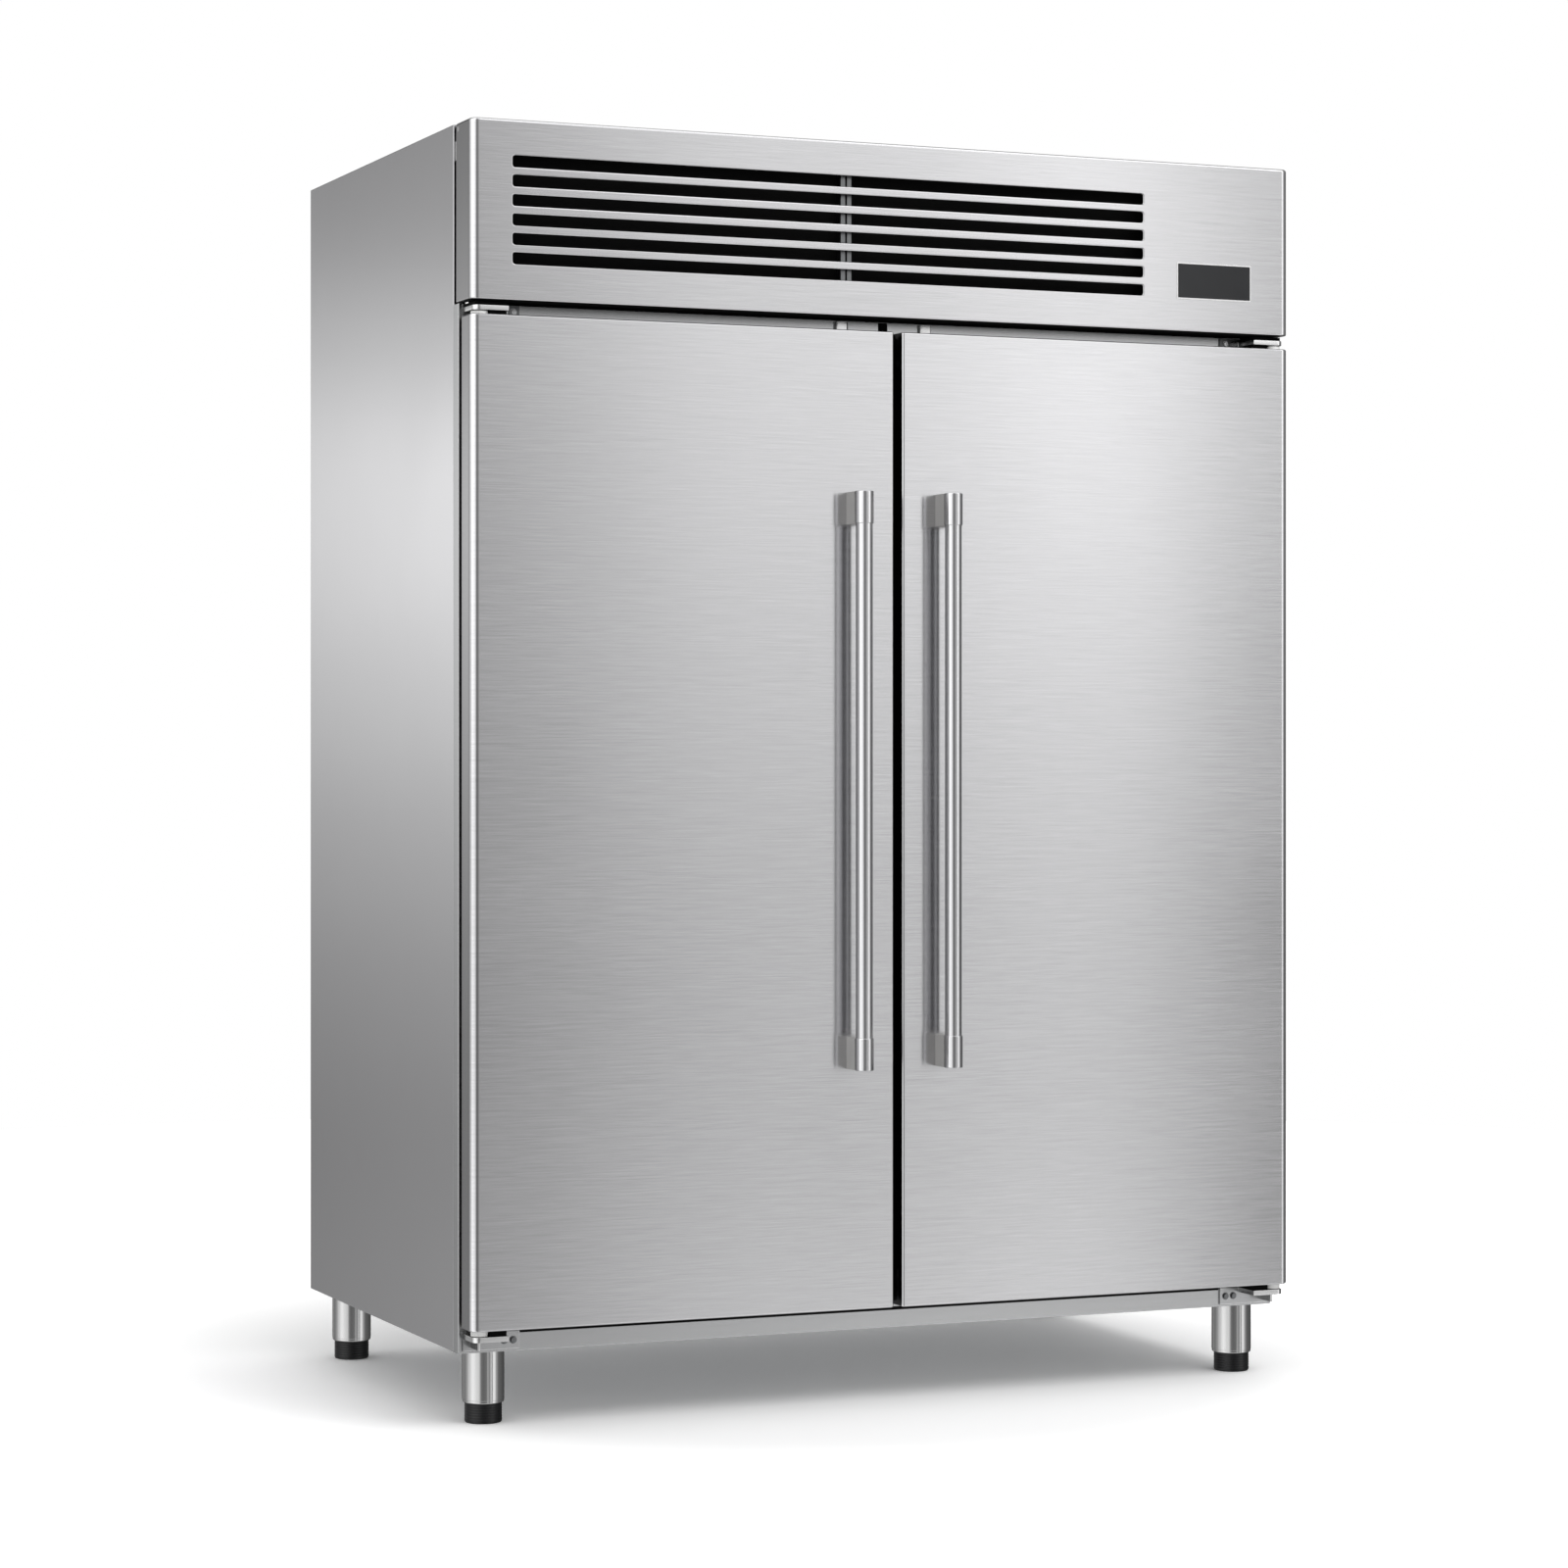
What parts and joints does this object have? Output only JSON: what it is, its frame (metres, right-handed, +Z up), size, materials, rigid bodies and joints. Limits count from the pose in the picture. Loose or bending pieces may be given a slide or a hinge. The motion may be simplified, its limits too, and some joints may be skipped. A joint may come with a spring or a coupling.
{
  "type": "upright freezer",
  "caption": "Tall stainless two-door upright freezer with bar handles, louvred top fascia and adjustable feet; doors, flap, fans and feet move.",
  "frame": {"origin": "middle of the footprint box, on the floor under the feet", "axes": "+X to the right seen from the front, +Y to the back, +Z up"},
  "size_m": [1.4, 0.8945, 1.96],
  "materials": {
    "brushed_panel": "horizontally brushed stainless",
    "side_panel": "vertically brushed stainless",
    "inner_steel": "satin stainless",
    "zinc_sheet": "galvanised sheet",
    "foam": "polyurethane foam",
    "strip_plastic": "satin grey",
    "gasket_rubber": "soft black",
    "handle_steel": "satin polished tube",
    "hinge_steel": "satin polished",
    "leg_steel": "turned stainless tube",
    "foot_plastic": "black moulded",
    "display_window": "smoked gloss",
    "white_plastic": "moulded",
    "coil_fins": "mill finish fins",
    "copper_pipe": "drawn copper",
    "compressor_paint": "black enamel",
    "motor_paint": "dark enamel",
    "fan_plastic": "black moulded",
    "shelf_coating": "plastic coated wire",
    "guard_wire": "zinc plated",
    "grey_housing": "moulded grey"
  },
  "bodies": {
    "cabinet": {"side_skin_left": "side_panel", "side_skin_right": "side_panel", "back_skin": "zinc_sheet", "bottom_skin": "zinc_sheet", "deck_skin": "zinc_sheet", "insulation": "foam", "liner": "inner_steel", "front_frame": "brushed_panel", "breaker_strip": "strip_plastic", "middle_post": "brushed_panel", "post_head_plates": "hinge_steel", "door_switches": "white_plastic", "top_cover": "zinc_sheet", "back_grille": "zinc_sheet", "cable_gland": "fan_plastic", "condenser_coil": "coil_fins", "condenser_shroud": "zinc_sheet", "condenser_fan_motor": "motor_paint", "compressor": "compressor_paint", "refrigerant_pipes": "copper_pipe", "electrical_box": "grey_housing", "condensate_tray": "grey_housing", "evaporator_cover": "inner_steel", "evaporator_coil": "coil_fins", "drip_tray": "coil_fins", "evaporator_fan_motors": "motor_paint", "fan_guards": "guard_wire", "shelf_posts": "inner_steel", "shelf_clips": "hinge_steel", "shelves_left": "shelf_coating", "shelves_right": "shelf_coating", "fascia_pivots": "hinge_steel", "legs": "leg_steel", "top_hinges": "hinge_steel", "bottom_hinges": "hinge_steel"},
    "fascia_flap": {"fascia_panel": "brushed_panel", "grille_strap": "brushed_panel", "display_window": "display_window", "controller_box": "grey_housing"},
    "condenser_fan_wheel": {"condenser_fan": "fan_plastic"},
    "evaporator_fan_wheel_left": {"evaporator_fan_left": "fan_plastic"},
    "evaporator_fan_wheel_right": {"evaporator_fan_right": "fan_plastic"},
    "levelling_foot_front_left": {"foot_front_left": "foot_plastic"},
    "levelling_foot_front_right": {"foot_front_right": "foot_plastic"},
    "levelling_foot_back_left": {"foot_back_left": "foot_plastic"},
    "levelling_foot_back_right": {"foot_back_right": "foot_plastic"},
    "left_door": {"left_door_skin": "brushed_panel", "left_door_core": "foam", "left_door_back": "inner_steel", "left_door_bushes": "white_plastic", "left_door_gasket": "gasket_rubber", "left_handle_bar": "handle_steel", "left_handle_brackets": "handle_steel"},
    "right_door": {"right_door_skin": "brushed_panel", "right_door_core": "foam", "right_door_back": "inner_steel", "right_door_bushes": "white_plastic", "right_door_gasket": "gasket_rubber", "right_handle_bar": "handle_steel", "right_handle_brackets": "handle_steel"}
  },
  "joints": [
    {"name": "left_door_hinge", "type": "hinge", "parent": "cabinet", "child": "left_door", "pos_m": [-0.68, -0.37075, 0.909], "axis": [0, 0, -1], "range_deg": [0, 110], "stiffness_Nm_per_rad": 1.2, "springref_deg": -11.46},
    {"name": "right_door_hinge", "type": "hinge", "parent": "cabinet", "child": "right_door", "pos_m": [0.68, -0.37075, 0.909], "axis": [0, 0, 1], "range_deg": [0, 110], "stiffness_Nm_per_rad": 1.2, "springref_deg": -11.46},
    {"name": "fascia_flap_hinge", "type": "hinge", "parent": "cabinet", "child": "fascia_flap", "pos_m": [0, -0.33075, 1.95], "axis": [-1, 0, 0], "range_deg": [0, 75]},
    {"name": "condenser_fan_spin", "type": "hinge", "parent": "cabinet", "child": "condenser_fan_wheel", "pos_m": [-0.33, -0.15875, 1.804], "axis": [0, 1, 0], "continuous": true},
    {"name": "evaporator_fan_left_spin", "type": "hinge", "parent": "cabinet", "child": "evaporator_fan_wheel_left", "pos_m": [-0.26, -0.07355, 1.529], "axis": [0, 1, 0], "continuous": true},
    {"name": "evaporator_fan_right_spin", "type": "hinge", "parent": "cabinet", "child": "evaporator_fan_wheel_right", "pos_m": [0.26, -0.07355, 1.529], "axis": [0, 1, 0], "continuous": true},
    {"name": "foot_screw_front_left", "type": "slide", "parent": "cabinet", "child": "levelling_foot_front_left", "axis": [0, 0, -1], "range_m": [0, 0.03]},
    {"name": "foot_screw_front_right", "type": "slide", "parent": "cabinet", "child": "levelling_foot_front_right", "axis": [0, 0, -1], "range_m": [0, 0.03]},
    {"name": "foot_screw_back_left", "type": "slide", "parent": "cabinet", "child": "levelling_foot_back_left", "axis": [0, 0, -1], "range_m": [0, 0.03]},
    {"name": "foot_screw_back_right", "type": "slide", "parent": "cabinet", "child": "levelling_foot_back_right", "axis": [0, 0, -1], "range_m": [0, 0.03]}
  ]
}
